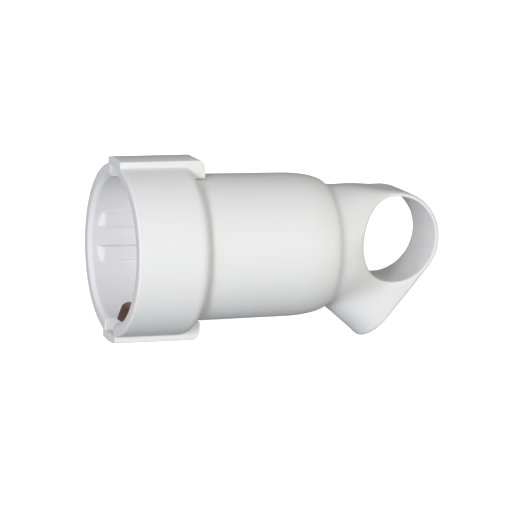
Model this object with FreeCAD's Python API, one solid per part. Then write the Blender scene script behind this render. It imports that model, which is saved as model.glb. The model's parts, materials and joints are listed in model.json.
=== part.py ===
import FreeCAD, Part
import math
import os

# Inline socket connector for round 4.8 mm pins on 19 mm centres, with an oblique cable outlet
# and a finger ring. Millimetres and degrees.
# The model is drawn about the connector's own axis: +X runs from the mouth to the handle,
# +Z towards the upper earth clip. At the end it is turned to lie as it comes to rest.

V = FreeCAD.Vector
ALONG = V(1, 0, 0)
ACROSS = V(0, 1, 0)
UP = V(0, 0, 1)

# Recess for the plug
RECESS_R = 19.5
RECESS_DEPTH = 17.5
MOUTH_CHAMFER = 1.0
FLOOR_THICK = 3.0
PIN_SPACING = 19.0
PIN_HOLE_R = 2.65
PIN_REACH = 19.5

# Cup
CUP_WALL = 3.75
CUP_ROUND = 3.0
RIM_ROUND = 0.4
BOSS_PROUD = 1.65
BOSS_WIDTH = 10.2
BOSS_OVERHANG = 3.5
BOSS_ROUND = 3.1
SLOT_WIDTH = 6.6
SLOT_DEPTH = 3.0
RIB_WIDTH = 3.85
RIB_GAP = 5.3
RIB_HEIGHT = 2.0
RIB_START = 2.6
RIB_BEVEL = 1.3
RIB_ROOT = 0.3
SPIGOT_WALL = 1.5
SPIGOT_LENGTH = 6.0

# Barrel and handle, one moulding
BARREL_END_R = 19.5
BARREL_DRAFT = 0.25
BARREL_WALL = 2.4
BARREL_LENGTH = 28.0
BARREL_ROUND_LENGTH = 11.5
BARREL_SHOULDER = 3.2
BARREL_LIP = 0.3
ROOT_WALL = 2.7
ROOT_CAVITY_LENGTH = 4.0
RING_HOLE_R = 11.76
RING_WALL = 1.34
RING_HALF_WIDTH = 8.3
RING_WEB = 2.98
RING_RISE = 1.89
HANDLE_EDGE_R = 1.0
HANDLE_STRAIGHT = 1.0
VALLEY_BLEND = 4.0
VALLEY_SINK = 0.12
OUTLET_ANGLE = 40.0
DUCT_R = 4.6
DUCT_ROOF = 2.44
DUCT_WALL = 2.5
DUCT_LENGTH = 20.0
DUCT_MOUTH_ROUND = 0.8
COLUMN_R = 3.9
COLUMN_LENGTH = 15.0
COLUMN_END = 2.0
COLUMN_GAP = 1.2

# Shares of the handle: of its length where the top is level, and of its half width that is flat
LEVEL_SHARE = 0.4
FLAT_SHARE = 0.005

# Contacts, carrier and cover
FIT_GAP = 0.15
COVER_THICK = 1.6
TUBE_R = 3.15
TUBE_WALL = 0.7
TUBE_SLIT = 0.8
TUBE_INSET = 1.0
TUBE_SOLID_END = 3.0
SPRING_INSET = 3.0
SPRING_THICK = 0.5
SPRING_LENGTH = 6.0
SPRING_GAP_ANGLE = 60.0
BLOCK_LENGTH = 7.6
BLOCK_WIDTH = 6.6
BLOCK_HEIGHT = 6.8
WIRE_HOLE_R = 1.7
WIRE_HOLE_START = 1.0

# Earth strap
STRAP_THICK = 0.8
STRAP_WIDTH = 5.5
STRAP_INSET = 0.9
STRAP_HEADROOM = 0.5
CLIP_TIP_X = 3.5
CLIP_TIP_OUT = 0.1
CLIP_CREST_X = 5.0
CLIP_REACH = 4.3
CLIP_BACK_X = 16.0
CLIP_BEND_R = 1.8
CLIP_BACK_BEND_R = 4.0
STRAP_BEND_R = 1.4
EARTH_SCREW_Z = 9.4
EARTH_SCREW_PAST_NUT = 2.0

# Screws and nuts
ASSEMBLY_SCREW_R = 2.0
ASSEMBLY_HEAD_R = 3.7
ASSEMBLY_HEAD_THICK = 1.6
HEAD_SEAT_DEPTH = 1.6
SCREW_PAST_NUT = 3.0
NUT_FLATS = 7.0
NUT_THICK = 3.2
EARTH_NUT_FLATS = 5.5
EARTH_NUT_THICK = 2.4
TERMINAL_SCREW_R = 1.5
TERMINAL_HEAD_R = 2.6
TERMINAL_HEAD_THICK = 1.8
TERMINAL_HEAD_LIFT = 0.4
SMALL_SCREW_R = 1.25
SMALL_HEAD_R = 2.1
SMALL_HEAD_THICK = 1.3
DRIVE_SLOT = 0.7
WASHER_SIDE = 7.0
WASHER_THICK = 1.0
WASHER_LIFT = 0.6

# Cord clamp
CORD_R = 3.8
CLAMP_LENGTH = 4.0
CLAMP_START = 0.8
CLAMP_BAR_THICK = 1.8
CLAMP_BAR_HALF = 8.1
CLAMP_SCREW_Y = 6.0
CLAMP_POST_HEIGHT = 7.0
CLAMP_HOLE_END = 1.0
COVER_SCREW_INSET = 3.44
COVER_SCREW_ANGLE = 39.0
COVER_SCREW_LENGTH = 7.0

# Extra length of a cutting tool past the surface that it opens
PAST = 1.0
# Two places closer than this are the same place
TOUCH = 0.01

# Sizes and places that follow from those above
CUP_R = RECESS_R + CUP_WALL
BOSS_R = CUP_R + BOSS_PROUD
CUP_LENGTH = RECESS_DEPTH + FLOOR_THICK
BARREL_R = BARREL_END_R + BARREL_DRAFT
BARREL_LIP_R = BARREL_END_R - BARREL_SHOULDER
ROOT_R = BARREL_LIP_R - BARREL_LIP
BARREL_END_X = CUP_LENGTH + BARREL_LENGTH
LIP_X = BARREL_END_X + BARREL_ROUND_LENGTH
RING_X = LIP_X + ROOT_CAVITY_LENGTH + RING_WEB + RING_HOLE_R
RING_R = RING_HOLE_R + RING_WALL
OUTLET_DROP = RING_HOLE_R + DUCT_ROOF + 2 * DUCT_R + DUCT_WALL
BARREL_BORE_R = BARREL_END_R - BARREL_WALL + FIT_GAP
SPIGOT_R = BARREL_BORE_R - FIT_GAP
CARRIER_R = BARREL_BORE_R - 2 * FIT_GAP
STRAP_Z = SPIGOT_R - STRAP_INSET
COLUMN_START = LIP_X + ROOT_CAVITY_LENGTH - COLUMN_LENGTH
COVER_END = COLUMN_START - COLUMN_GAP
CARRIER_END = COVER_END - COVER_THICK
CARRIER_LENGTH = CARRIER_END - CUP_LENGTH
COVER_SCREW_Y = (CARRIER_R - COVER_SCREW_INSET) * math.cos(math.radians(COVER_SCREW_ANGLE))
COVER_SCREW_Z = -(CARRIER_R - COVER_SCREW_INSET) * math.sin(math.radians(COVER_SCREW_ANGLE))
BLOCK_X = CARRIER_END - BLOCK_LENGTH - FIT_GAP
VALLEY_MIDDLE_Z = RING_RISE - RING_R / 2
CLAMP_X = COVER_END + CLAMP_START
CLAMP_TOP_Z = -(COLUMN_R + 2 * CORD_R + FIT_GAP)
STRAP_BRIDGE_X = CARRIER_END - STRAP_THICK / 2
CHAMBER_R = TUBE_R + SPRING_THICK + 2 * FIT_GAP


def rod(r, start, length, y=0.0, z=0.0):
    """A cylinder along the connector's axis."""
    return Part.makeCylinder(r, length, V(start, y, z), ALONG)


def block(x, y, z):
    """A box given by its (low, high) pairs along each axis."""
    size = [high - low for low, high in (x, y, z)]
    return Part.makeBox(*size, V(x[0], y[0], z[0]))


def polygon(points):
    return Part.Face(Part.makePolygon(points + points[:1]))


def turned(edges):
    """The solid turned about the axis by a closed half profile in the XZ plane."""
    return Part.Face(Part.Wire(edges)).revolve(V(0, 0, 0), ALONG, 360)


def line(a, b):
    return Part.makeLine(V(a[0], 0, a[1]), V(b[0], 0, b[1]))


def arc(a, middle, b):
    return Part.Arc(*[V(p[0], 0, p[1]) for p in (a, middle, b)]).toShape()


def mirrored(shape):
    """The same shape on the other side of the axis, top to bottom."""
    return shape.mirror(V(0, 0, 0), UP)


def smooth(t):
    """Eases from 0 to 1, level at both ends."""
    t = min(max(t, 0.0), 1.0)
    return t * t * (3 - 2 * t)


def hexagon(flats, start, length, y=0.0, z=0.0):
    corner = flats / math.sqrt(3)
    turns = [math.radians(60 * i) for i in range(6)]
    ring = [V(start, y + corner * math.cos(a), z + corner * math.sin(a)) for a in turns]
    return polygon(ring).extrude(V(length, 0, 0))


def screw(shank_r, head_r, head_thick, length, seat, direction):
    """A slotted cheese-head screw whose head stands on seat and whose shank runs along direction."""
    shank = Part.makeCylinder(shank_r, length, seat, direction)
    head = Part.makeCylinder(head_r, head_thick, seat, -direction)
    top = seat - direction * head_thick
    side = ACROSS if abs(direction.dot(ACROSS)) < 0.5 else ALONG
    other = direction.cross(side)
    low = top - side * head_r - other * DRIVE_SLOT / 2
    groove = Part.Face(Part.makePolygon([
        low, low + side * 2 * head_r, low + side * 2 * head_r + other * DRIVE_SLOT,
        low + other * DRIVE_SLOT, low]))
    groove = groove.extrude(direction * head_thick / 2)
    return shank.fuse(head).removeSplitter().cut(groove)


def boss():
    """The raised housing over the upper earth clip, its back end rounded down to the barrel."""
    back = CUP_LENGTH + BOSS_OVERHANG
    base = RECESS_R
    turn = BOSS_ROUND * math.sqrt(0.5)
    edges = [
        line((0, base), (0, BOSS_R)),
        line((0, BOSS_R), (back - BOSS_ROUND, BOSS_R)),
        arc((back - BOSS_ROUND, BOSS_R),
            (back - BOSS_ROUND + turn, BOSS_R - BOSS_ROUND + turn),
            (back, BOSS_R - BOSS_ROUND)),
        line((back, BOSS_R - BOSS_ROUND), (back, base)),
        line((back, base), (0, base)),
    ]
    side = Part.Face(Part.Wire(edges))
    side.translate(V(0, -BOSS_WIDTH / 2, 0))
    return side.extrude(V(0, BOSS_WIDTH, 0)).common(rod(BOSS_R, 0, back))


def rib(z):
    """A guide rib on the +Y wall of the recess, with a bevelled front end."""
    tip = RIB_START + RIB_BEVEL
    inner = RECESS_R - RIB_HEIGHT
    outer = RECESS_R + CUP_WALL / 4
    plan = polygon([
        V(RIB_START, outer, z), V(RIB_START, RECESS_R - RIB_ROOT, z), V(tip, inner, z),
        V(RECESS_DEPTH, inner, z), V(RECESS_DEPTH, outer, z)])
    return plan.extrude(V(0, 0, RIB_WIDTH))


def socket_cup():
    """The front moulding: cup, earth bosses, guide ribs, recess floor and rear spigot."""
    turn = CUP_ROUND * math.sqrt(0.5)
    corner = (CUP_LENGTH - CUP_ROUND, CUP_R - CUP_ROUND)
    rim = RIM_ROUND * math.sqrt(0.5)
    cup = turned([
        line((0, 0), (0, CUP_R - RIM_ROUND)),
        arc((0, CUP_R - RIM_ROUND), (RIM_ROUND - rim, CUP_R - RIM_ROUND + rim),
            (RIM_ROUND, CUP_R)),
        line((RIM_ROUND, CUP_R), (corner[0], CUP_R)),
        arc((corner[0], CUP_R), (corner[0] + turn, corner[1] + turn), (CUP_LENGTH, corner[1])),
        line((CUP_LENGTH, corner[1]), (CUP_LENGTH, 0)),
        line((CUP_LENGTH, 0), (0, 0)),
    ])
    cup = cup.fuse([boss(), mirrored(boss())]).removeSplitter()
    hollow = rod(RECESS_R, -PAST, RECESS_DEPTH + PAST)
    lead = Part.makeCone(RECESS_R + 2 * MOUTH_CHAMFER, RECESS_R, 2 * MOUTH_CHAMFER,
                         V(-MOUTH_CHAMFER, 0, 0), ALONG)
    slot = block((-PAST, RECESS_DEPTH), (-SLOT_WIDTH / 2, SLOT_WIDTH / 2),
                 (0, RECESS_R + SLOT_DEPTH))
    seat = rod(BARREL_R + FIT_GAP, CUP_LENGTH, 2 * BOSS_OVERHANG)
    cup = cup.cut([hollow.fuse(lead), slot, mirrored(slot), seat])
    ribs = []
    for z in (RIB_GAP / 2, -RIB_GAP / 2 - RIB_WIDTH):
        one = rib(z)
        ribs += [one, one.mirror(V(0, 0, 0), ACROSS)]
    spigot = rod(SPIGOT_R, CUP_LENGTH, SPIGOT_LENGTH)
    spigot = spigot.cut(rod(SPIGOT_R - SPIGOT_WALL, CUP_LENGTH, SPIGOT_LENGTH))
    cup = cup.fuse(ribs + [spigot]).removeSplitter()
    strap_half = STRAP_WIDTH / 2 + FIT_GAP
    arm_way = block((RECESS_DEPTH - PAST, CUP_LENGTH + SPIGOT_LENGTH), (-strap_half, strap_half),
                    (STRAP_Z - STRAP_THICK, SPIGOT_R + STRAP_HEADROOM))
    cuts = [arm_way, mirrored(arm_way)]
    before = RECESS_DEPTH - PAST
    through = FLOOR_THICK + 2 * PAST
    cuts += [rod(PIN_HOLE_R, before, through, y) for y in (-PIN_SPACING / 2, PIN_SPACING / 2)]
    cuts.append(rod(ASSEMBLY_SCREW_R + FIT_GAP, before, through))
    cuts.append(rod(ASSEMBLY_HEAD_R + FIT_GAP, before, PAST + HEAD_SEAT_DEPTH))
    return cup.cut(cuts)


def barrel():
    """The outside of the barrel with its rounded end, as a solid."""
    end = Part.Ellipse(V(LIP_X, 0, BARREL_LIP_R), V(BARREL_END_X, 0, BARREL_END_R),
                       V(BARREL_END_X, 0, BARREL_LIP_R))
    return turned([
        line((CUP_LENGTH, 0), (CUP_LENGTH, BARREL_R)),
        line((CUP_LENGTH, BARREL_R), (BARREL_END_X, BARREL_END_R)),
        Part.ArcOfEllipse(end, 0, math.pi / 2).toShape(),
        line((LIP_X, BARREL_LIP_R), (LIP_X, 0)),
        line((LIP_X, 0), (CUP_LENGTH, 0)),
    ])


def barrel_cavity():
    """The inside of the barrel and of the handle's root."""
    root_r = ROOT_R - ROOT_WALL
    inner_x = BARREL_END_X
    neck_x = LIP_X - BARREL_WALL
    end = Part.Ellipse(V(neck_x, 0, root_r), V(inner_x, 0, BARREL_BORE_R),
                       V(inner_x, 0, root_r))
    floor_x = LIP_X + ROOT_CAVITY_LENGTH
    return turned([
        line((CUP_LENGTH, 0), (CUP_LENGTH, BARREL_BORE_R)),
        line((CUP_LENGTH, BARREL_BORE_R), (inner_x, BARREL_BORE_R)),
        Part.ArcOfEllipse(end, 0, math.pi / 2).toShape(),
        line((neck_x, root_r), (floor_x, root_r)),
        line((floor_x, root_r), (floor_x, 0)),
        line((floor_x, 0), (CUP_LENGTH, 0)),
    ])


def root_size(x):
    """The handle at x: half its width, its top and bottom levels, and its corners' radius.

    It is round at the barrel and a rounded rectangle of the ring's width at the ring.
    """
    start = LIP_X + HANDLE_STRAIGHT
    t = min(max((x - start) / (RING_X - start), 0.0), 1.0)
    half = ROOT_R + (RING_HALF_WIDTH - ROOT_R) * smooth(t)
    rise = smooth((t - LEVEL_SHARE) / (1 - LEVEL_SHARE))
    top = ROOT_R + (RING_RISE + RING_R - ROOT_R) * rise
    bottom = -ROOT_R + (RING_RISE - RING_R + ROOT_R) * smooth(t)
    widest = (1 - FLAT_SHARE) * half
    corner = HANDLE_EDGE_R + (widest - HANDLE_EDGE_R) * (1 - t * t)
    return half, top, bottom, corner


def root_section(x):
    half, top, bottom, r = root_size(x)
    turn = r * (1 - math.sqrt(0.5))
    corners = []
    for y, z, dy, dz in ((half, top, -1, -1), (half, bottom, -1, 1),
                         (-half, bottom, 1, 1), (-half, top, 1, -1)):
        on_side = V(x, y, z + dz * r)
        on_flat = V(x, y + dy * r, z)
        middle = V(x, y + dy * turn, z + dz * turn)
        pair = (on_side, middle, on_flat)
        corners.append(pair if y * dz > 0 else pair[::-1])
    edges = []
    for i, (first, middle, last) in enumerate(corners):
        edges.append(Part.Arc(first, middle, last).toShape())
        edges.append(Part.makeLine(last, corners[(i + 1) % 4][0]))
    return Part.Wire(edges)


def root():
    """The handle from the barrel to the middle of the ring, as one loft."""
    start = LIP_X - BARREL_WALL
    steps = 7
    begin = LIP_X + HANDLE_STRAIGHT
    places = [start, (start + begin) / 2]
    places += [begin + (RING_X - begin) * i / steps for i in range(steps + 1)]
    return Part.makeLoft([root_section(x) for x in places], True, False)


def outlet_point(along, up):
    """A point of the XZ plane: along the cable outlet's axis from the origin, and square to it."""
    a = math.radians(OUTLET_ANGLE)
    return V(along * math.cos(a) + up * math.sin(a), 0, up * math.cos(a) - along * math.sin(a))


OUTLET_DIR = outlet_point(1, 0)
RING_CENTRE = V(RING_X, 0, RING_RISE)
OUTLET_END = RING_CENTRE.dot(OUTLET_DIR) + RING_R
OUTLET_LOW = RING_CENTRE.dot(outlet_point(0, 1)) - OUTLET_DROP
DUCT_LEVEL = OUTLET_LOW + DUCT_WALL + DUCT_R
OUTLET_START = OUTLET_END - DUCT_LENGTH


def ring_and_outlet():
    """The far half of the ring and the cable outlet, one flat form with a rounded underside."""
    angle = math.radians(45 - OUTLET_ANGLE / 2)
    top = V(RING_X, 0, RING_RISE + RING_R)
    bend = RING_CENTRE + V(math.cos(angle), 0, math.sin(angle)) * RING_R
    touch = RING_CENTRE + OUTLET_DIR * RING_R
    tip = outlet_point(OUTLET_END, OUTLET_LOW)
    inner_low = outlet_point(OUTLET_START, OUTLET_LOW)
    inner_high = outlet_point(OUTLET_START, OUTLET_LOW + 2 * RING_HALF_WIDTH + HANDLE_EDGE_R)
    edges = [Part.Arc(top, bend, touch).toShape()]
    rest = [touch, tip, inner_low, inner_high, RING_CENTRE, top]
    edges += [Part.makeLine(a, b) for a, b in zip(rest, rest[1:])]
    face = Part.Face(Part.Wire(edges))
    w = RING_HALF_WIDTH
    face.translate(V(0, -w, 0))
    plate = face.extrude(V(0, 2 * w, 0))
    back = OUTLET_START - w
    left = outlet_point(back, OUTLET_LOW + w) - V(0, w, 0)
    right = outlet_point(back, OUTLET_LOW + w) + V(0, w, 0)
    rise = outlet_point(0, 2 * (OUTLET_DROP + RING_R))
    under = [
        Part.Arc(left, outlet_point(back, OUTLET_LOW), right).toShape(),
        Part.makeLine(right, right + rise),
        Part.makeLine(right + rise, left + rise),
        Part.makeLine(left + rise, left),
    ]
    prism = Part.Face(Part.Wire(under)).extrude(OUTLET_DIR * (2 * DUCT_LENGTH))
    plate = plate.common(prism)
    return plate.makeFillet(HANDLE_EDGE_R, end_edges(plate))


def end_edges(plate):
    """The edges round the outlet's end face and along both sides of the ring's outer face."""
    found = []
    for edge in plate.Edges:
        middle = edge.valueAt((edge.FirstParameter + edge.LastParameter) / 2)
        off_axis = V(middle.x, 0, middle.z).distanceToPoint(RING_CENTRE)
        on_end = abs(middle.dot(OUTLET_DIR) - OUTLET_END) < TOUCH
        on_ring = abs(off_axis - RING_R) < TOUCH and middle.x > RING_X + TOUCH
        over_full_width = edge.BoundBox.XLength < TOUCH
        if (on_end or on_ring) and not over_full_width:
            found.append(edge)
    return found


def beyond_root(x, y, z):
    """How far a point lies outside the handle's section at its x; negative inside."""
    half, top, bottom, r = root_size(x)
    over_side = abs(y) - half + r
    over_level = abs(z - (top + bottom) / 2) - (top - bottom) / 2 + r
    return (math.hypot(max(over_side, 0), max(over_level, 0))
            + min(max(over_side, over_level), 0) - r)


def beyond_outlet(x, y, z):
    """How far a point lies outside the cable outlet's round underside and flat sides."""
    above = V(x, 0, z).dot(outlet_point(0, 1)) - OUTLET_LOW - RING_HALF_WIDTH
    beside = math.hypot(y, min(above, 0)) - RING_HALF_WIDTH
    return max(beside, z - RING_RISE)


def valley_section(x, share):
    """The outline of the handle and the outlet at x, with a hollow blend where they meet.

    The blend is widest where share, which runs from 0 at the barrel to 1 at the ring, is a half.
    """
    width = VALLEY_BLEND * 4 * share * (1 - share)
    count = 60
    points = []
    for i in range(count):
        angle = 2 * math.pi * (i + 0.5) / count
        low, high = 0.0, 4 * ROOT_R
        while high - low > TOUCH / 100:
            reach = (low + high) / 2
            y = reach * math.sin(angle)
            z = VALLEY_MIDDLE_Z + reach * math.cos(angle)
            first, second = beyond_root(x, y, z), beyond_outlet(x, y, z)
            near = max(width - abs(first - second), 0)
            blend = near * near / (4 * width) if near else 0
            if min(first, second) - blend + VALLEY_SINK < 0:
                low = reach
            else:
                high = reach
        points.append(V(x, low * math.sin(angle), VALLEY_MIDDLE_Z + low * math.cos(angle)))
    outline = Part.BSplineCurve()
    outline.interpolate(Points=points, PeriodicFlag=True)
    return Part.Wire(outline.toShape())


def valley():
    """The hollow blend between the handle's underside and the outlet's sides.

    Away from the blend it is sunk a little below both, so that it shows only in the valley.
    """
    start = LIP_X + BARREL_LIP
    end = RING_X - HANDLE_EDGE_R
    steps = 9
    shares = [i / steps for i in range(steps + 1)]
    sections = [valley_section(start + (end - start) * share, share) for share in shares]
    form = Part.makeLoft(sections, True, False)
    near = OUTLET_END - HANDLE_EDGE_R - VALLEY_SINK
    far = OUTLET_END + 4 * ROOT_R
    low = OUTLET_LOW - ROOT_R
    high = OUTLET_LOW + 4 * ROOT_R
    past_end = polygon([outlet_point(near, low), outlet_point(far, low), outlet_point(far, high),
                        outlet_point(near, high)])
    past_end.translate(V(0, -2 * ROOT_R, 0))
    above = block((LIP_X, RING_X), (-2 * ROOT_R, 2 * ROOT_R), (VALLEY_MIDDLE_Z, 4 * ROOT_R))
    return form.cut([past_end.extrude(V(0, 4 * ROOT_R, 0)), above])


def column():
    """The post in the barrel that takes the assembly screw, with its nut pocket."""
    post = rod(COLUMN_R, COLUMN_START, COLUMN_LENGTH + PAST)
    pocket = hexagon(NUT_FLATS + FIT_GAP, COLUMN_START, NUT_THICK)
    hole = rod(ASSEMBLY_SCREW_R + FIT_GAP, COLUMN_START, COLUMN_LENGTH - COLUMN_END)
    return post.cut([pocket, hole])


def handle_body():
    """The rear moulding: barrel, finger ring and cable duct in one piece."""
    outside = barrel().fuse([root(), ring_and_outlet(), valley()]).removeSplitter()
    body = outside.cut(barrel_cavity())
    body = body.fuse(column())
    finger = Part.makeCylinder(RING_HOLE_R, 4 * ROOT_R, RING_CENTRE - V(0, 2 * ROOT_R, 0), ACROSS)
    duct_start = outlet_point(OUTLET_START, DUCT_LEVEL)
    duct = Part.makeCylinder(DUCT_R, DUCT_LENGTH + PAST, duct_start, OUTLET_DIR)
    body = body.cut([finger, duct])
    mouth = [edge for edge in body.Edges
             if isinstance(edge.Curve, Part.Circle) and abs(edge.Curve.Radius - DUCT_R) < TOUCH
             and abs(edge.Curve.Center.dot(OUTLET_DIR) - OUTLET_END) < TOUCH]
    return body.makeFillet(DUCT_MOUTH_ROUND, mouth)


def contact_carrier():
    """The insulating block behind the recess floor, with chambers for the contacts."""
    front = SPIGOT_R - SPIGOT_WALL - FIT_GAP
    behind = CUP_LENGTH + SPIGOT_LENGTH + FIT_GAP
    body = rod(front, CUP_LENGTH, CARRIER_LENGTH)
    body = body.fuse(rod(CARRIER_R, behind, CARRIER_END - behind)).removeSplitter()
    half = STRAP_WIDTH / 2 + FIT_GAP
    groove = block((CUP_LENGTH, CARRIER_END), (-half, half),
                   (STRAP_Z - STRAP_THICK / 2, CARRIER_R + PAST))
    bridge = block((CARRIER_END - STRAP_THICK, CARRIER_END), (-half, half),
                   (-CARRIER_R - PAST, CARRIER_R + PAST))
    bend = block((CARRIER_END - STRAP_THICK - STRAP_BEND_R, CARRIER_END), (-half, half),
                 (STRAP_Z - STRAP_BEND_R - STRAP_THICK / 2, CARRIER_R + PAST))
    cuts = [groove, mirrored(groove), bridge, bend, mirrored(bend),
            rod(ASSEMBLY_SCREW_R + FIT_GAP, CUP_LENGTH, CARRIER_LENGTH)]
    pocket_half = BLOCK_WIDTH / 2 + FIT_GAP
    pocket_high = BLOCK_HEIGHT / 2 + FIT_GAP
    for y in (-PIN_SPACING / 2, PIN_SPACING / 2):
        cuts.append(rod(CHAMBER_R, CUP_LENGTH, CARRIER_LENGTH - BLOCK_LENGTH, y))
        cuts.append(block((BLOCK_X - FIT_GAP, CARRIER_END), (y - pocket_half, y + pocket_half),
                          (-pocket_high, pocket_high)))
        cuts.append(Part.makeCylinder(TERMINAL_HEAD_R + FIT_GAP, CARRIER_R,
                                      V(BLOCK_X + BLOCK_LENGTH / 2, y, 0), UP))
        cuts.append(rod(SMALL_SCREW_R, CARRIER_END - COVER_SCREW_LENGTH, COVER_SCREW_LENGTH,
                        math.copysign(COVER_SCREW_Y, y), COVER_SCREW_Z))
    nut_start = CARRIER_END - STRAP_THICK - EARTH_NUT_THICK
    cuts.append(hexagon(EARTH_NUT_FLATS + FIT_GAP, nut_start, EARTH_NUT_THICK, 0, EARTH_SCREW_Z))
    cuts.append(rod(TERMINAL_SCREW_R + FIT_GAP, nut_start - EARTH_SCREW_PAST_NUT,
                    EARTH_SCREW_PAST_NUT, 0, EARTH_SCREW_Z))
    return body.cut(cuts)


def contact(y):
    """One brass contact: a slit tube that grips the pin, and the terminal block behind it."""
    tube_start = CUP_LENGTH + TUBE_INSET
    bore_end = RECESS_DEPTH + PIN_REACH
    tube = rod(TUBE_R, tube_start, BLOCK_X - tube_start, y)
    half = BLOCK_WIDTH / 2
    high = BLOCK_HEIGHT / 2
    body = tube.fuse(block((BLOCK_X, BLOCK_X + BLOCK_LENGTH), (y - half, y + half), (-high, high)))
    slit_end = bore_end - TUBE_SOLID_END
    reach = TUBE_R + PAST
    cuts = [rod(TUBE_R - TUBE_WALL, tube_start, bore_end - tube_start, y),
            block((tube_start, slit_end), (y - reach, y + reach), (-TUBE_SLIT / 2, TUBE_SLIT / 2)),
            rod(WIRE_HOLE_R, BLOCK_X + WIRE_HOLE_START, BLOCK_LENGTH, y),
            Part.makeCylinder(TERMINAL_SCREW_R, high + PAST,
                              V(BLOCK_X + BLOCK_LENGTH / 2, y, 0), UP)]
    return body.cut(cuts)


def grip_spring(y):
    """The steel ring, open on one side, that closes the slit tube on the pin."""
    start = CUP_LENGTH + SPRING_INSET
    ring = rod(TUBE_R + SPRING_THICK, start, SPRING_LENGTH, y)
    ring = ring.cut(rod(TUBE_R, start, SPRING_LENGTH, y))
    a = math.radians(SPRING_GAP_ANGLE / 2)
    far = 2 * (TUBE_R + SPRING_THICK)
    mouth = polygon([V(start, y, 0), V(start, y - far * math.sin(a), far * math.cos(a)),
                     V(start, y + far * math.sin(a), far * math.cos(a))])
    return ring.cut(mouth.extrude(V(SPRING_LENGTH, 0, 0)))


def terminal_screw(y):
    """The screw that clamps a wire in a contact's terminal block."""
    rise = BLOCK_HEIGHT / 2 + TERMINAL_HEAD_LIFT
    seat = V(BLOCK_X + BLOCK_LENGTH / 2, y, rise)
    return screw(TERMINAL_SCREW_R, TERMINAL_HEAD_R, TERMINAL_HEAD_THICK, rise, seat, -UP)


def rounded_path(points, radii):
    """A wire through the corner points, each inner corner rounded to its radius."""
    edges = []
    last = points[0]
    for before, corner, after, r in zip(points, points[1:], points[2:], radii):
        back = (before - corner).normalize()
        ahead = (after - corner).normalize()
        half = back.getAngle(ahead) / 2
        reach = r / math.tan(half)
        middle = (back + ahead).normalize() * (r / math.sin(half) - r)
        first = corner + back * reach
        edges.append(Part.makeLine(last, first))
        last = corner + ahead * reach
        edges.append(Part.Arc(first, corner + middle, last).toShape())
    edges.append(Part.makeLine(last, points[-1]))
    return Part.Wire(edges)


def earth_strap():
    """The one-piece bronze strip: a bowed clip at top and bottom, joined behind the carrier."""
    upper = [V(CLIP_TIP_X, 0, RECESS_R + CLIP_TIP_OUT), V(CLIP_CREST_X, 0, RECESS_R - CLIP_REACH),
             V(CLIP_BACK_X, 0, STRAP_Z), V(STRAP_BRIDGE_X, 0, STRAP_Z)]
    lower = [V(p.x, 0, -p.z) for p in reversed(upper)]
    radii = [CLIP_BEND_R, CLIP_BACK_BEND_R, STRAP_BEND_R]
    radii += radii[::-1]
    path = rounded_path(upper + lower, radii)
    start = upper[0]
    run = (upper[1] - upper[0]).normalize()
    thick = run.cross(ACROSS) * (STRAP_THICK / 2)
    wide = ACROSS * (STRAP_WIDTH / 2)
    section = Part.makePolygon([start + thick + wide, start + thick - wide,
                                start - thick - wide, start - thick + wide,
                                start + thick + wide])
    strap = path.makePipeShell([section], True, False)
    before = CARRIER_END - STRAP_THICK - PAST
    through = STRAP_THICK + 2 * PAST
    return strap.cut([rod(ASSEMBLY_SCREW_R + FIT_GAP, before, through),
                      rod(TERMINAL_SCREW_R, before, through, 0, EARTH_SCREW_Z)])


def earth_nut():
    """The nut behind the strap that takes the earth screw."""
    start = CARRIER_END - STRAP_THICK - EARTH_NUT_THICK
    nut = hexagon(EARTH_NUT_FLATS, start, EARTH_NUT_THICK, 0, EARTH_SCREW_Z)
    return nut.cut(rod(TERMINAL_SCREW_R, start, EARTH_NUT_THICK, 0, EARTH_SCREW_Z))


def earth_washer():
    """The square plate that presses the earth wire on the strap."""
    start = CARRIER_END + WASHER_LIFT
    half = WASHER_SIDE / 2
    plate = block((start, start + WASHER_THICK), (-half, half),
                  (EARTH_SCREW_Z - half, EARTH_SCREW_Z + half))
    return plate.cut(rod(TERMINAL_SCREW_R + FIT_GAP, start, WASHER_THICK, 0, EARTH_SCREW_Z))


def earth_screw():
    seat = V(CARRIER_END + WASHER_LIFT + WASHER_THICK, 0, EARTH_SCREW_Z)
    length = WASHER_LIFT + WASHER_THICK + STRAP_THICK + EARTH_NUT_THICK
    return screw(TERMINAL_SCREW_R, TERMINAL_HEAD_R, TERMINAL_HEAD_THICK, length, seat, -ALONG)


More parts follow.
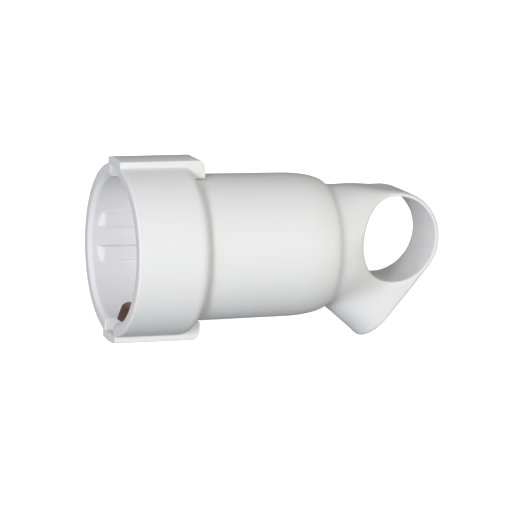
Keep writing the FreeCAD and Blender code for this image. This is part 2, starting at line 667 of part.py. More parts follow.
def carrier_cover():
    """The plate that closes the carrier, with its wire openings and the cord clamp's posts."""
    plate = rod(CARRIER_R, CARRIER_END, COVER_THICK)
    post_z = -CLAMP_TOP_Z
    posts = []
    for side in (-1, 1):
        inner, outer = sorted((side * (CORD_R + FIT_GAP), side * CLAMP_BAR_HALF))
        posts.append(block((COVER_END, CLAMP_X + CLAMP_LENGTH), (inner, outer),
                           (-post_z, -post_z + CLAMP_POST_HEIGHT)))
    body = plate.fuse(posts).removeSplitter()
    cuts = [rod(ASSEMBLY_SCREW_R + FIT_GAP, CARRIER_END, COVER_THICK),
            block((CARRIER_END, COVER_END), (-WASHER_SIDE / 2 - FIT_GAP, WASHER_SIDE / 2 + FIT_GAP),
                  (EARTH_SCREW_Z - WASHER_SIDE / 2 - FIT_GAP,
                   EARTH_SCREW_Z + WASHER_SIDE / 2 + FIT_GAP))]
    for side in (-1, 1):
        cuts.append(rod(WIRE_HOLE_R + 2 * FIT_GAP, CARRIER_END, COVER_THICK, side * PIN_SPACING / 2))
        cuts.append(rod(SMALL_SCREW_R + FIT_GAP, CARRIER_END, COVER_THICK,
                        side * COVER_SCREW_Y, COVER_SCREW_Z))
        cuts.append(Part.makeCylinder(SMALL_SCREW_R, CLAMP_POST_HEIGHT - CLAMP_HOLE_END,
                                      V(CLAMP_X + CLAMP_LENGTH / 2, side * CLAMP_SCREW_Y,
                                        CLAMP_TOP_Z), UP))
    return body.cut(cuts)


def cord_clamp_bar():
    """The bar under the cord, screwed to the cover's two posts."""
    bar = block((CLAMP_X, CLAMP_X + CLAMP_LENGTH), (-CLAMP_BAR_HALF, CLAMP_BAR_HALF),
                (CLAMP_TOP_Z - CLAMP_BAR_THICK, CLAMP_TOP_Z))
    holes = [Part.makeCylinder(SMALL_SCREW_R + FIT_GAP, CLAMP_BAR_THICK,
                               V(CLAMP_X + CLAMP_LENGTH / 2, y, CLAMP_TOP_Z - CLAMP_BAR_THICK), UP)
             for y in (-CLAMP_SCREW_Y, CLAMP_SCREW_Y)]
    return bar.cut(holes)


def clamp_screw(y):
    seat = V(CLAMP_X + CLAMP_LENGTH / 2, y, CLAMP_TOP_Z - CLAMP_BAR_THICK)
    return screw(SMALL_SCREW_R, SMALL_HEAD_R, SMALL_HEAD_THICK,
                 CLAMP_BAR_THICK + CLAMP_POST_HEIGHT - CLAMP_HOLE_END, seat, UP)


def cover_screw(y):
    seat = V(COVER_END, y, COVER_SCREW_Z)
    return screw(SMALL_SCREW_R, SMALL_HEAD_R, SMALL_HEAD_THICK,
                 COVER_THICK + COVER_SCREW_LENGTH, seat, -ALONG)


def assembly_screw():
    """The long screw through the middle of the recess floor into the handle's post."""
    seat = V(RECESS_DEPTH + HEAD_SEAT_DEPTH, 0, 0)
    length = COLUMN_START + NUT_THICK + SCREW_PAST_NUT - seat.x
    return screw(ASSEMBLY_SCREW_R, ASSEMBLY_HEAD_R, ASSEMBLY_HEAD_THICK, length, seat, ALONG)


def assembly_nut():
    nut = hexagon(NUT_FLATS, COLUMN_START, NUT_THICK)
    return nut.cut(rod(ASSEMBLY_SCREW_R, COLUMN_START, NUT_THICK))


def floor_direction():
    """The direction of the floor in the drawing's axes when the connector has rolled to rest.

    Each support is the furthest reach of one round form in that direction: the cup's shoulder,
    the barrel's rounded end and the round end of the cable outlet.
    """
    def shoulder(pitch):
        return ((CUP_R - CUP_ROUND) * math.cos(pitch) + (CUP_LENGTH - CUP_ROUND) * math.sin(pitch)
                + CUP_ROUND)

    def barrel_end(pitch):
        return (BARREL_LIP_R * math.cos(pitch) + BARREL_END_X * math.sin(pitch)
                + math.hypot(BARREL_ROUND_LENGTH * math.sin(pitch),
                             (BARREL_END_R - BARREL_LIP_R) * math.cos(pitch)))

    def direction(pitch, roll):
        return V(math.sin(pitch), math.cos(pitch) * math.sin(roll),
                 -math.cos(pitch) * math.cos(roll))

    def outlet(pitch, roll):
        down = direction(pitch, roll)
        w = RING_HALF_WIDTH - HANDLE_EDGE_R
        centre = outlet_point(OUTLET_END - HANDLE_EDGE_R, OUTLET_LOW + RING_HALF_WIDTH)
        lean = down.dot(OUTLET_DIR)
        return centre.dot(down) + w * math.sqrt(1 - lean * lean) + HANDLE_EDGE_R

    low, high = 0.0, math.radians(30)
    for step in range(50):
        pitch = (low + high) / 2
        if barrel_end(pitch) < shoulder(pitch):
            low = pitch
        else:
            high = pitch
    low, high = math.radians(20), math.radians(90)
    for step in range(50):
        roll = (low + high) / 2
        if outlet(pitch, roll) > shoulder(pitch):
            low = roll
        else:
            high = roll
    return direction(pitch, roll)


def at_rest(shapes):
    """Turns the pieces to lie on the floor, their box centred over the origin."""
    up = floor_direction() * -1
    forward = (ALONG - up * ALONG.dot(up)).normalize()
    left = up.cross(forward)
    turn = FreeCAD.Matrix(forward.x, forward.y, forward.z, 0,
                          left.x, left.y, left.z, 0,
                          up.x, up.y, up.z, 0,
                          0, 0, 0, 1)
    place = FreeCAD.Placement(turn)
    laid = {}
    for name, shape in shapes.items():
        copy = shape.copy()
        copy.Placement = place
        laid[name] = copy
    box = Part.makeCompound(list(laid.values())).optimalBoundingBox(False)
    shift = V(-(box.XMin + box.XMax) / 2, -(box.YMin + box.YMax) / 2, -box.ZMin)
    for shape in laid.values():
        shape.translate(shift)
    return laid, turn, shift


PIECES = {
    "socket_cup": socket_cup,
    "handle_body": handle_body,
    "contact_carrier": contact_carrier,
    "carrier_cover": carrier_cover,
    "line_contact": lambda: contact(-PIN_SPACING / 2),
    "neutral_contact": lambda: contact(PIN_SPACING / 2),
    "line_grip_spring": lambda: grip_spring(-PIN_SPACING / 2),
    "neutral_grip_spring": lambda: grip_spring(PIN_SPACING / 2),
    "line_terminal_screw": lambda: terminal_screw(-PIN_SPACING / 2),
    "neutral_terminal_screw": lambda: terminal_screw(PIN_SPACING / 2),
    "earth_strap": earth_strap,
    "earth_nut": earth_nut,
    "earth_washer": earth_washer,
    "earth_terminal_screw": earth_screw,
    "assembly_screw": assembly_screw,
    "assembly_nut": assembly_nut,
    "cord_clamp_bar": cord_clamp_bar,
    "cord_clamp_screw_left": lambda: clamp_screw(CLAMP_SCREW_Y),
    "cord_clamp_screw_right": lambda: clamp_screw(-CLAMP_SCREW_Y),
    "cover_screw_left": lambda: cover_screw(COVER_SCREW_Y),
    "cover_screw_right": lambda: cover_screw(-COVER_SCREW_Y),
}


def main():
    os.makedirs("parts", exist_ok=True)
    laid, turn, shift = at_rest({name: make() for name, make in PIECES.items()})
    for name, shape in laid.items():
        shape.exportStep("parts/" + name + ".step")
        print(name, shape.isValid(), len(shape.Solids), round(shape.Volume, 1))
    print("turn", turn)
    print("shift", shift)


if __name__ == "__main__":
    main()
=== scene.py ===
"""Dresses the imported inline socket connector: white mouldings, metal, floor, light and camera."""

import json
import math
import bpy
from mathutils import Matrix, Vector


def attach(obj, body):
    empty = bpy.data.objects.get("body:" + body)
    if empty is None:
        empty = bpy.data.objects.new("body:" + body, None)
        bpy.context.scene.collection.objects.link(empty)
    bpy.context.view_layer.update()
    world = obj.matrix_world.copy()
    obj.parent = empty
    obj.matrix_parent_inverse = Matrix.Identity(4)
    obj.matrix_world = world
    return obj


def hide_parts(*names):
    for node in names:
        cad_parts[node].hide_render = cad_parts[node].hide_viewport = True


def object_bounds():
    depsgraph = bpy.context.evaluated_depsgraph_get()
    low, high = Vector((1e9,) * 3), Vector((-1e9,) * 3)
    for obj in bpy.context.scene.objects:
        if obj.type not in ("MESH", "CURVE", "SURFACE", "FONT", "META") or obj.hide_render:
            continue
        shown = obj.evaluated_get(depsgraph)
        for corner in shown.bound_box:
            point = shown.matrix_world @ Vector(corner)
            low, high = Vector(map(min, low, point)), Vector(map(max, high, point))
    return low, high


bl_info = {
    "name": "Inline Socket Connector",
    "version": (1, 0, 0),
    "blender": (4, 5, 0),
    "location": "3D View > Sidebar > Connector",
    "description": "Finishes the pieces of an inline socket connector and sets its stage",
    "category": "Object",
}

import bpy
from bpy.props import FloatProperty, FloatVectorProperty, IntProperty, PointerProperty
from bpy.types import Operator, Panel, PropertyGroup
from mathutils import Matrix, Vector

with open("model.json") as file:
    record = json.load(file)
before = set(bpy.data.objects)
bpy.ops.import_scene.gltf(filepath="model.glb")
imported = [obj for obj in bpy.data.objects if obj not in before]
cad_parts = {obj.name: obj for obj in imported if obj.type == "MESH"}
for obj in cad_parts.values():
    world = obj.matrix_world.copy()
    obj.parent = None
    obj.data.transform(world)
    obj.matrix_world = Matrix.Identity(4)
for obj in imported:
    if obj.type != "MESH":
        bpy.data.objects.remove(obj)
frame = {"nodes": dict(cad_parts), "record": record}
CAD_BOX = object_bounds()
NODES = frame["nodes"]
MOUNTS = {mount["name"]: mount for mount in frame["record"]["mounts"]}

MM = 0.001
BODY = "root"

# How far behind the mouth the mounts of the pin holes and the floor of the recess lie
PIN_MOUNT_DEPTH = 19.0 * MM
RECESS_DEPTH = 17.5 * MM

# The connector's own axes, read from its two pin holes, with the origin at the middle of the mouth
LINE_HOLE = Vector(MOUNTS["line_socket"]["pos_m"])
NEUTRAL_HOLE = Vector(MOUNTS["neutral_socket"]["pos_m"])
FORWARD = -Vector(MOUNTS["line_socket"]["axis"]).normalized()
ACROSS = (NEUTRAL_HOLE - LINE_HOLE).normalized()
UPWARD = FORWARD.cross(ACROSS)
MOUTH = (LINE_HOLE + NEUTRAL_HOLE) / 2 - FORWARD * PIN_MOUNT_DEPTH

# The handle's two holes, and how far past its mount the cable outlet ends
FINGER_HOLE = MOUNTS["finger_ring"]
CABLE_BORE = MOUNTS["cable_outlet"]
OUTLET_END = 8.0 * MM

# Corners of the frame's mesh that lie nearer than this are welded into one
WELD_GAP = 1e-6

# How far each round of smoothing moves a corner towards the middle of its neighbours
SMOOTH_FACTOR = 0.5

# Where the handle's blends are softened. Each pair says where a ramp starts and where it is full:
# the first two lie along the connector from its mouth, the others are distances from a hole's wall
# or from the outlet's end. Past AT_RING the softening falls by RING_DROP.
FROM_ROOT = (58 * MM, 62 * MM)
AT_RING = (76 * MM, 88 * MM)
RING_DROP = 0.8
OFF_FINGER_HOLE = (0.6 * MM, 2 * MM)
OFF_CABLE_BORE = (0.3 * MM, 1.5 * MM)
OFF_OUTLET_END = (0.5 * MM, 3 * MM)

# Where the barrel's outside is softened a little: along the connector, and out from its middle line
BARREL_START = (24 * MM, 26 * MM)
BARREL_STOP = (55 * MM, 59 * MM)
BARREL_OUTSIDE = (17.4 * MM, 18 * MM)
BARREL_SHARE = 0.25

# How far from its wall the finger hole's edges are softened a little
NEAR_HOLE_WALL = (1.0 * MM, 3.0 * MM)
HOLE_SHARE = 0.07

# Most values of a noise lie between these two
NOISE_LOW = 0.3
NOISE_HIGH = 0.7

# The plastic: the size of its glossier and greyer patches and of its grain, and its faint glow
GLOSS_PATCH = 6 * MM
GLOSS_STRAY = 0.03
GREY_PATCH = 11 * MM
GREY_SHARE = 0.985
GRAIN_SIZE = 0.22 * MM
GRAIN_DETAIL = 3.0
PLASTIC_IOR = 1.5
PLASTIC_SPECULAR = 0.2
GLOW_WEIGHT = 0.05
GLOW_BY_COLOUR = (1.0, 0.9, 0.8)
GLOW_DEPTH = 1.2 * MM

# The metals: the darkest share of their colour, how rough they are and how large their marks are.
# The springs have only SPRING_SHARE of the steel's light.
BRASS_FINISH = {"dark": 0.8, "roughness": 0.3, "mark_size": 1.2 * MM}
SPRING_FINISH = {"dark": 0.85, "roughness": 0.34, "mark_size": 0.9 * MM}
SPRING_SHARE = 0.8
CLIP_FINISH = {"dark": 0.65, "roughness": 0.42, "mark_size": 1.6 * MM, "metallic": 0.6}
SCREW_FINISH = {"dark": 0.85, "roughness": 0.3, "mark_size": 0.7 * MM}
MARK_DETAIL = 4.0
MARK_STRAY = 0.08
MARK_DEPTH = 0.004 * MM
SHARP_ANGLE = math.radians(40)
EDGE_SEGMENTS = 2

# The painted shade and grime in the middle screw's slot: from where to where below the head's face the
# darkening grows
SHADE_GRIME_START = 0.1 * MM
SHADE_GRIME_FULL = 0.7 * MM
SHADE_GRIME_SHARE = 0.12

# The floor, in metres, and the dark sheet under it, which the camera doesn't see
FLOOR_HALF = 3.0
FLOOR_PATCH = 0.4
FLOOR_SHARE = 0.99
FLOOR_ROUGHNESS = 0.8
SHEET_DEPTH = 1.0 * MM
SHEET_COLOUR = (0.1, 0.1, 0.1)
SHEET_ROUGHNESS = 0.9

# The photograph's camera, in millimetres about the mouth, along the connector's own axes
EYE_MM = (-275.5, -812.5, 167.4)
LOOK = (0.3565, 0.9144, -0.1918)
CAMERA_UP = (0.0328, 0.1929, 0.9807)
LENS_MM = 231.2
SENSOR_MM = 36.0
NEAREST_SEEN = 0.05
FARTHEST_SEEN = 50.0

# Each light's colour, and its place from the model's middle: along the look, right and up, in metres
LIGHT_SIZE = 0.3
LIGHTS = {"key": ((0.965, 0.955, 1.0), (-1.12, -0.42, 0.0)),
          "ring_side": ((1.0, 0.99, 0.79), (-0.52, 1.08, 0.0)),
          "low": ((0.78, 0.83, 1.0), (-0.75, -0.72, -0.6))}
SURROUND_COLOUR = (0.98, 0.99, 1.0)

INNER_WHITE = ("contact_carrier", "carrier_cover", "cord_clamp_bar")
BRASS = ("line_contact", "neutral_contact")
SPRINGS = ("line_grip_spring", "neutral_grip_spring")
MIDDLE_SCREW = "assembly_screw"
OTHER_SCREWS = ("line_terminal_screw", "neutral_terminal_screw", "earth_terminal_screw", "earth_nut",
                "earth_washer", "assembly_nut", "cord_clamp_screw_left", "cord_clamp_screw_right",
                "cover_screw_left", "cover_screw_right")


def direction(along):
    """A direction given along the connector's own axes, turned into the frame's."""
    return FORWARD * along[0] + ACROSS * along[1] + UPWARD * along[2]


def darker(colour, share):
    """The colour with only a share of its light."""
    return [channel * share for channel in colour]


class PlasticSettings(PropertyGroup):
    """The white mouldings."""

    cup_mesh: FloatProperty(name="Cup's mesh size",
                            description="Size of the mesh that rounds the cup's edges",
                            default=0.0002, unit="LENGTH", precision=5)
    handle_mesh: FloatProperty(name="Handle's mesh size",
                               description="Size of the mesh that rounds the handle's edges",
                               default=0.0003, unit="LENGTH", precision=5)
    rounds: IntProperty(name="Edge softening", description="How often each mesh is smoothed", default=3)
    blend_rounds: IntProperty(name="Blend softening",
                              description="How often the handle's blends are smoothed after that",
                              default=400)
    triangles: IntProperty(name="Most triangles", description="Largest size of one moulding's mesh",
                           default=190000)
    colour: FloatVectorProperty(name="White", description="Colour of the mouldings", subtype="COLOR",
                                default=(0.9, 0.9, 0.9), min=0.0, max=1.0)
    roughness: FloatProperty(name="Roughness", description="Mean roughness of the satin finish",
                             default=0.46, min=0.0, max=1.0)
    grain: FloatProperty(name="Grain", description="Height of the mould's fine grain",
                         default=0.000006, unit="LENGTH", precision=6)


class MetalSettings(PropertyGroup):
    """The contacts, clips and screws."""

    clip: FloatVectorProperty(name="Earth clip", description="Brown tarnished bronze", subtype="COLOR",
                              default=(0.24, 0.123, 0.078), min=0.0, max=1.0)
    brass: FloatVectorProperty(name="Brass", description="Colour of the contacts", subtype="COLOR",
                               default=(0.72, 0.52, 0.22), min=0.0, max=1.0)
    steel: FloatVectorProperty(name="Steel", description="Zinc-plated steel", subtype="COLOR",
                               default=(0.62, 0.63, 0.65), min=0.0, max=1.0)
    edge: FloatProperty(name="Edge rounding",
                        description="Size of the rounding on the edges of stamped and turned metal",
                        default=0.00012, unit="LENGTH", precision=5)


class StageSettings(PropertyGroup):
    """The floor, the lights and the surroundings."""

    floor: FloatVectorProperty(name="Floor", description="Colour of the pale floor", subtype="COLOR",
                               default=(0.93, 0.93, 0.93), min=0.0, max=1.0)
    floor_glow: FloatProperty(name="Floor glow", description="Light of the lit floor itself",
                              default=0.85, min=0.0)
    key: FloatProperty(name="Key light", description="Power of the soft light on the mouth's side",
                       default=6.5, subtype="POWER")
    ring_side: FloatProperty(name="Ring side light", description="Power of the warm light past the ring",
                             default=2.5, subtype="POWER")
    low: FloatProperty(name="Low light", description="Power of the cool light below the mouth's side",
                       default=1.4, subtype="POWER")
    surround: FloatProperty(name="Surroundings", description="Strength of the even light all round",
                            default=0.47, min=0.0)


def material(name, colour, roughness, metallic=0.0):
    """A new material and its node tree, shader and object-space coordinates."""
    made = bpy.data.materials.new(name)
    made.use_nodes = True
    tree = made.node_tree
    shader = tree.nodes["Principled BSDF"]
    shader.inputs["Base Color"].default_value = (*colour, 1.0)
    shader.inputs["Roughness"].default_value = roughness
    shader.inputs["Metallic"].default_value = metallic
    coords = tree.nodes.new("ShaderNodeTexCoord")
    return made, tree, shader, coords.outputs["Object"]


def noise(tree, coords, scale, detail=2.0):
    """Noise whose grains are scale metres across."""
    node = tree.nodes.new("ShaderNodeTexNoise")
    node.inputs["Scale"].default_value = 1.0 / scale
    node.inputs["Detail"].default_value = detail
    tree.links.new(coords, node.inputs["Vector"])
    return node.outputs["Fac"]


def roughen(tree, shader, value, middle, stray):
    """Lets the shader's roughness stray to either side of its middle, by a noise."""
    node = tree.nodes.new("ShaderNodeMapRange")
    node.inputs["From Min"].default_value = NOISE_LOW
    node.inputs["From Max"].default_value = NOISE_HIGH
    node.inputs["To Min"].default_value = middle - stray
    node.inputs["To Max"].default_value = middle + stray
    tree.links.new(value, node.inputs["Value"])
    tree.links.new(node.outputs["Result"], shader.inputs["Roughness"])


def tint(tree, shader, value, first, second):
    """Mixes two colours by value into the shader's base colour."""
    node = tree.nodes.new("ShaderNodeMix")
    node.data_type = "RGBA"
    node.inputs["A"].default_value = (*first, 1.0)
    node.inputs["B"].default_value = (*second, 1.0)
    tree.links.new(value, node.inputs["Factor"])
    tree.links.new(node.outputs["Result"], shader.inputs["Base Color"])


def bump(tree, shader, value, height):
    """Raises the surface by up to height metres where value is 1."""
    node = tree.nodes.new("ShaderNodeBump")
    node.inputs["Strength"].default_value = 1.0
    node.inputs["Distance"].default_value = height
    tree.links.new(value, node.inputs["Height"])
    tree.links.new(node.outputs["Normal"], shader.inputs["Normal"])


def satin_white(name, settings):
    """Moulded plastic: white, faintly grained, very slightly uneven in gloss, a little translucent."""
    made, tree, shader, coords = material(name, settings.colour, settings.roughness)
    shader.inputs["IOR"].default_value = PLASTIC_IOR
    shader.inputs["Specular IOR Level"].default_value = PLASTIC_SPECULAR
    shader.inputs["Subsurface Weight"].default_value = GLOW_WEIGHT
    shader.inputs["Subsurface Radius"].default_value = GLOW_BY_COLOUR
    shader.inputs["Subsurface Scale"].default_value = GLOW_DEPTH
    roughen(tree, shader, noise(tree, coords, GLOSS_PATCH), settings.roughness, GLOSS_STRAY)
    grey = darker(settings.colour, GREY_SHARE)
    tint(tree, shader, noise(tree, coords, GREY_PATCH), grey, settings.colour)
    bump(tree, shader, noise(tree, coords, GRAIN_SIZE, GRAIN_DETAIL), settings.grain)
    return made


def worn_metal(name, colour, dark, roughness, mark_size, metallic=1.0):
    """Stamped or turned metal with faint marks and uneven tarnish."""
    made, tree, shader, coords = material(name, colour, roughness, metallic)
    marks = noise(tree, coords, mark_size, MARK_DETAIL)
    tint(tree, shader, marks, darker(colour, dark), colour)
    roughen(tree, shader, marks, roughness, MARK_STRAY)
    bump(tree, shader, noise(tree, coords, mark_size / 4), MARK_DEPTH)
    return made


def shade_and_grime_in_slot(made, face_depth, colour):
    """Darkens a screw from its head's face downwards with painted shade and grime, where its slot lies
    in shade and holds grime.
    """
    tree = made.node_tree
    shader = tree.nodes["Principled BSDF"]
    coords = tree.nodes.new("ShaderNodeTexCoord")
    depth = tree.nodes.new("ShaderNodeVectorMath")
    depth.operation = "DOT_PRODUCT"
    depth.inputs[1].default_value = FORWARD
    tree.links.new(coords.outputs["Object"], depth.inputs[0])
    face = MOUTH.dot(FORWARD) + face_depth
    shade_and_grime = tree.nodes.new("ShaderNodeMapRange")
    shade_and_grime.inputs["From Min"].default_value = face + SHADE_GRIME_START
    shade_and_grime.inputs["From Max"].default_value = face + SHADE_GRIME_FULL
    tree.links.new(depth.outputs["Value"], shade_and_grime.inputs["Value"])
    # Painted shade and grime: the deeper below the head's face, the darker the steel
    tint(tree, shader, shade_and_grime.outputs["Result"], colour, darker(colour, SHADE_GRIME_SHARE))


def dress(node, made):
    """Gives a node of the frame its one material."""
    mesh = NODES[node].data
    mesh.materials.clear()
    mesh.materials.append(made)


def dress_metal(node, made, edge):
    """Gives a metal node its material, and rounds its sharp edges as it is shown, not in the frame."""
    dress(node, made)
    bevel = NODES[node].modifiers.new("edges", "BEVEL")
    bevel.width = edge
    bevel.segments = EDGE_SEGMENTS
    bevel.limit_method = "ANGLE"
    bevel.angle_limit = SHARP_ANGLE


def ramp(value, span):
    """Rises smoothly from 0 at the span's start to 1 at its end."""
    low, high = span
    share = min(1.0, max(0.0, (value - low) / (high - low)))
    return share * share * (3.0 - 2.0 * share)


def from_wall(point, mount):
    """How far a point lies outside a mount's round hole, in metres."""
    axis = Vector(mount["axis"]).normalized()
    offset = point - Vector(mount["pos_m"])
    return (offset - axis * offset.dot(axis)).length - mount["dims"]["r_mm"] * MM


def blend_share(point):
    """How much of the softening the blends take: none at the holes' walls and the outlet's end."""
    along = (point - MOUTH).dot(FORWARD)
    outlet_axis = Vector(CABLE_BORE["axis"]).normalized()
    from_end = OUTLET_END - (point - Vector(CABLE_BORE["pos_m"])).dot(outlet_axis)
    return (ramp(along, FROM_ROOT) * (1.0 - RING_DROP * ramp(along, AT_RING))
            * ramp(from_wall(point, FINGER_HOLE), OFF_FINGER_HOLE)
            * ramp(from_wall(point, CABLE_BORE), OFF_CABLE_BORE) * ramp(from_end, OFF_OUTLET_END))


def barrel_share(point):
    """How much of it the barrel's outside takes, so that no facet of the frame shows."""
    along = (point - MOUTH).dot(FORWARD)
    from_middle = (point - MOUTH - FORWARD * along).length
    return (BARREL_SHARE * ramp(along, BARREL_START) * (1.0 - ramp(along, BARREL_STOP))
            * ramp(from_middle, BARREL_OUTSIDE))


def hole_share(point):
    """How much of it the finger hole's wall and edges take, which rounds the edges."""
    return HOLE_SHARE * (1.0 - ramp(abs(from_wall(point, FINGER_HOLE)), NEAR_HOLE_WALL))


def apply_modifiers(skin):
    """Makes what the modifiers show the object's own mesh."""
    bpy.context.view_layer.update()
    seen = skin.evaluated_get(bpy.context.evaluated_depsgraph_get())
    mesh = bpy.data.meshes.new_from_object(seen)
    skin.modifiers.clear()
    skin.data = mesh


def moulded_skin(node, name, mesh_size, rounds, made):
    """The moulding with every edge softened: the CAD form remeshed finely and smoothed."""
    skin = bpy.data.objects.new(name, NODES[node].data.copy())
    bpy.context.scene.collection.objects.link(skin)
    weld = skin.modifiers.new("weld", "WELD")
    weld.merge_threshold = WELD_GAP
    remesh = skin.modifiers.new("remesh", "REMESH")
    remesh.mode = "VOXEL"
    remesh.voxel_size = mesh_size
    soften = skin.modifiers.new("soften", "SMOOTH")
    soften.factor = SMOOTH_FACTOR
    soften.iterations = rounds
    apply_modifiers(skin)
    skin.data.materials.clear()
    skin.data.materials.append(made)
    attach(skin, BODY)
    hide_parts(node)
    return skin


def soften_handle(skin, rounds):
    """Smooths the handle where its forms run together, and its barrel and finger hole a little."""
    softened = skin.vertex_groups.new(name="softened")
    for vertex in skin.data.vertices:
        share = max(blend_share(vertex.co), barrel_share(vertex.co), hole_share(vertex.co))
        if share > 0:
            softened.add([vertex.index], share, "REPLACE")
    flow = skin.modifiers.new("flow", "SMOOTH")
    flow.factor = SMOOTH_FACTOR
    flow.iterations = rounds
    flow.vertex_group = softened.name
    apply_modifiers(skin)


def finish_skin(skin, most_triangles):
    """Thins the mesh where it is flat and shows its facets as one smooth surface."""
    count = sum(len(face.vertices) - 2 for face in skin.data.polygons)
    thin = skin.modifiers.new("thin", "DECIMATE")
    thin.ratio = min(1.0, most_triangles / count)
    apply_modifiers(skin)
    skin.data.polygons.foreach_set("use_smooth", [True] * len(skin.data.polygons))


class CONNECTOR_OT_cup(Operator):
    """Make the cup with its bosses, ribs and rim."""

    bl_idname = "connector.cup"
    bl_label = "Cup"

    def execute(self, context):
        settings = context.scene.connector_plastic
        made = satin_white("cup_white", settings)
        skin = moulded_skin("socket_cup", "cup_moulding", settings.cup_mesh, settings.rounds, made)
        finish_skin(skin, settings.triangles)
        return {"FINISHED"}


class CONNECTOR_OT_handle(Operator):
    """Make the barrel with its finger ring and cable outlet."""

    bl_idname = "connector.handle"
    bl_label = "Barrel and ring"

    def execute(self, context):
        settings = context.scene.connector_plastic
        made = satin_white("handle_white", settings)
        skin = moulded_skin("handle_body", "handle_moulding", settings.handle_mesh, settings.rounds,
                            made)
        soften_handle(skin, settings.blend_rounds)
        finish_skin(skin, settings.triangles)
        return {"FINISHED"}


class CONNECTOR_OT_carrier(Operator):
    """Finish the insulating pieces behind the recess floor."""

    bl_idname = "connector.carrier"
    bl_label = "Carrier, cover and clamp"

    def execute(self, context):
        made = satin_white("carrier_white", context.scene.connector_plastic)
        for node in INNER_WHITE:
            dress(node, made)
        return {"FINISHED"}


class CONNECTOR_OT_contacts(Operator):
    """Finish the two brass contacts and their grip springs."""

    bl_idname = "connector.contacts"
    bl_label = "Contacts"

    def execute(self, context):
        metal = context.scene.connector_metal
        brass = worn_metal("contact_brass", metal.brass, **BRASS_FINISH)
        spring = worn_metal("spring_steel", darker(metal.steel, SPRING_SHARE), **SPRING_FINISH)
        for node in BRASS:
            dress_metal(node, brass, metal.edge)
        for node in SPRINGS:
            dress_metal(node, spring, metal.edge)
        return {"FINISHED"}


class CONNECTOR_OT_earth_clip(Operator):
    """Finish the bowed earth clips."""

    bl_idname = "connector.earth_clip"
    bl_label = "Earth clips"

    def execute(self, context):
        metal = context.scene.connector_metal
        bronze = worn_metal("clip_bronze", metal.clip, **CLIP_FINISH)
        dress_metal("earth_strap", bronze, metal.edge)
        return {"FINISHED"}


class CONNECTOR_OT_screws(Operator):
    """Finish the screws, nuts and the washer."""

    bl_idname = "connector.screws"
    bl_label = "Screws and nuts"

    def execute(self, context):
        metal = context.scene.connector_metal
        steel = worn_metal("screw_steel", metal.steel, **SCREW_FINISH)
        for node in OTHER_SCREWS:
            dress_metal(node, steel, metal.edge)
        # The middle screw's slot gets painted shade and grime below its head's face
        shaded_and_grimy = worn_metal("middle_screw_steel", metal.steel, **SCREW_FINISH)
        shade_and_grime_in_slot(shaded_and_grimy, RECESS_DEPTH, metal.steel)
        dress_metal(MIDDLE_SCREW, shaded_and_grimy, metal.edge)
        return {"FINISHED"}


def lay_floor(settings):
    """The pale lit floor, for the camera, and the dark sheet that shades the connector in its place."""
    corners = [(-FLOOR_HALF, -FLOOR_HALF, 0), (FLOOR_HALF, -FLOOR_HALF, 0),
               (FLOOR_HALF, FLOOR_HALF, 0), (-FLOOR_HALF, FLOOR_HALF, 0)]
    mesh = bpy.data.meshes.new("floor")
    mesh.from_pydata(corners, [], [(0, 1, 2, 3)])
    floor = bpy.data.objects.new("floor", mesh)
    bpy.context.scene.collection.objects.link(floor)
    made, tree, shader, coords = material("floor_pale", settings.floor, FLOOR_ROUGHNESS)
    shade = darker(settings.floor, FLOOR_SHARE)
    tint(tree, shader, noise(tree, coords, FLOOR_PATCH), shade, settings.floor)
    shader.inputs["Emission Color"].default_value = (1.0, 1.0, 1.0, 1.0)
    shader.inputs["Emission Strength"].default_value = settings.floor_glow
    mesh.materials.append(made)
    floor.visible_diffuse = False
    floor.visible_glossy = False

    sheet = bpy.data.objects.new("floor_shade", mesh.copy())
    bpy.context.scene.collection.objects.link(sheet)
    sheet.location = (0.0, 0.0, -SHEET_DEPTH)
    sheet.data.materials.clear()
    sheet.data.materials.append(material("floor_dark", SHEET_COLOUR, SHEET_ROUGHNESS)[0])
    sheet.visible_camera = False


def view_axes():
    """The photograph's look, right and up, square to each other."""
    look = direction(LOOK).normalized()
    right = look.cross(direction(CAMERA_UP).normalized()).normalized()
    return look, right, right.cross(look)


def set_camera():
    """The photograph's camera."""
    look, right, up = view_axes()
    data = bpy.data.cameras.new("camera")
    data.lens = LENS_MM
    data.sensor_width = SENSOR_MM
    data.clip_start = NEAREST_SEEN
    data.clip_end = FARTHEST_SEEN
    camera = bpy.data.objects.new("camera", data)
    bpy.context.scene.collection.objects.link(camera)
    turn = Matrix((right, up, -look)).transposed()
    eye = MOUTH + direction(EYE_MM) * MM
    camera.matrix_world = Matrix.Translation(eye) @ turn.to_4x4()
    bpy.context.scene.camera = camera


def hang_light(name, power, colour, spot, target):
    """A square soft light at the spot, turned to the target."""
    data = bpy.data.lights.new(name, "AREA")
    data.energy = power
    data.size = LIGHT_SIZE
    data.color = colour
    lamp = bpy.data.objects.new(name, data)
    bpy.context.scene.collection.objects.link(lamp)
    lamp.location = spot
    lamp.rotation_mode = "QUATERNION"
    lamp.rotation_quaternion = (target - spot).to_track_quat("-Z", "Y")


def hang_lights(settings):
    """The three soft lights on the model's middle."""
    look, right, up = view_axes()
    middle = (CAD_BOX[0] + CAD_BOX[1]) / 2
    for name, (colour, place) in LIGHTS.items():
        spot = middle + look * place[0] + right * place[1] + up * place[2]
        hang_light(name, getattr(settings, name), colour, spot, middle)


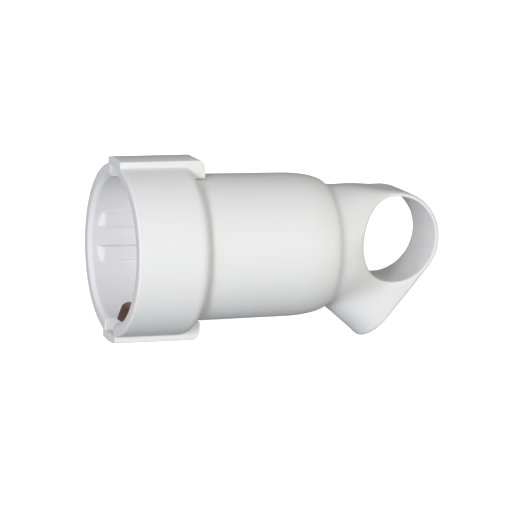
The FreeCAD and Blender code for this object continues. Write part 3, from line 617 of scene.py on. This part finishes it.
def light_surround(settings):
    """Even light all round."""
    world = bpy.data.worlds.new("surround")
    world.use_nodes = True
    background = world.node_tree.nodes["Background"]
    background.inputs["Color"].default_value = (*SURROUND_COLOUR, 1.0)
    background.inputs["Strength"].default_value = settings.surround
    bpy.context.scene.world = world


class CONNECTOR_OT_stage(Operator):
    """Set the floor, the photograph's camera and the lights."""

    bl_idname = "connector.stage"
    bl_label = "Stage"

    def execute(self, context):
        settings = context.scene.connector_stage
        lay_floor(settings)
        set_camera()
        hang_lights(settings)
        light_surround(settings)
        context.scene.view_settings.view_transform = "Standard"
        return {"FINISHED"}


SETTINGS = {"connector_plastic": PlasticSettings, "connector_metal": MetalSettings,
            "connector_stage": StageSettings}
STEPS = (CONNECTOR_OT_cup, CONNECTOR_OT_handle, CONNECTOR_OT_carrier, CONNECTOR_OT_contacts,
         CONNECTOR_OT_earth_clip, CONNECTOR_OT_screws, CONNECTOR_OT_stage)


class CONNECTOR_PT_panel(Panel):
    """Lists the settings and the steps in the sidebar."""

    bl_label = "Inline Socket Connector"
    bl_idname = "CONNECTOR_PT_panel"
    bl_space_type = "VIEW_3D"
    bl_region_type = "UI"
    bl_category = "Connector"

    def draw(self, context):
        layout = self.layout
        for group in SETTINGS:
            settings = getattr(context.scene, group)
            for name in settings.__annotations__:
                layout.prop(settings, name)
        for step in STEPS:
            layout.operator(step.bl_idname)


def register():
    """Adds the classes, and the settings to every scene."""
    for cls in (*SETTINGS.values(), *STEPS, CONNECTOR_PT_panel):
        bpy.utils.register_class(cls)
    for name, cls in SETTINGS.items():
        setattr(bpy.types.Scene, name, PointerProperty(type=cls))


def unregister():
    """Takes the settings and the classes away again."""
    for name in SETTINGS:
        delattr(bpy.types.Scene, name)
    for cls in reversed((*SETTINGS.values(), *STEPS, CONNECTOR_PT_panel)):
        bpy.utils.unregister_class(cls)


def main():
    """Runs every step in order."""
    register()
    bpy.ops.connector.cup()
    bpy.ops.connector.handle()
    bpy.ops.connector.carrier()
    bpy.ops.connector.contacts()
    bpy.ops.connector.earth_clip()
    bpy.ops.connector.screws()
    bpy.ops.connector.stage()


if __name__ == "__main__":
    main()
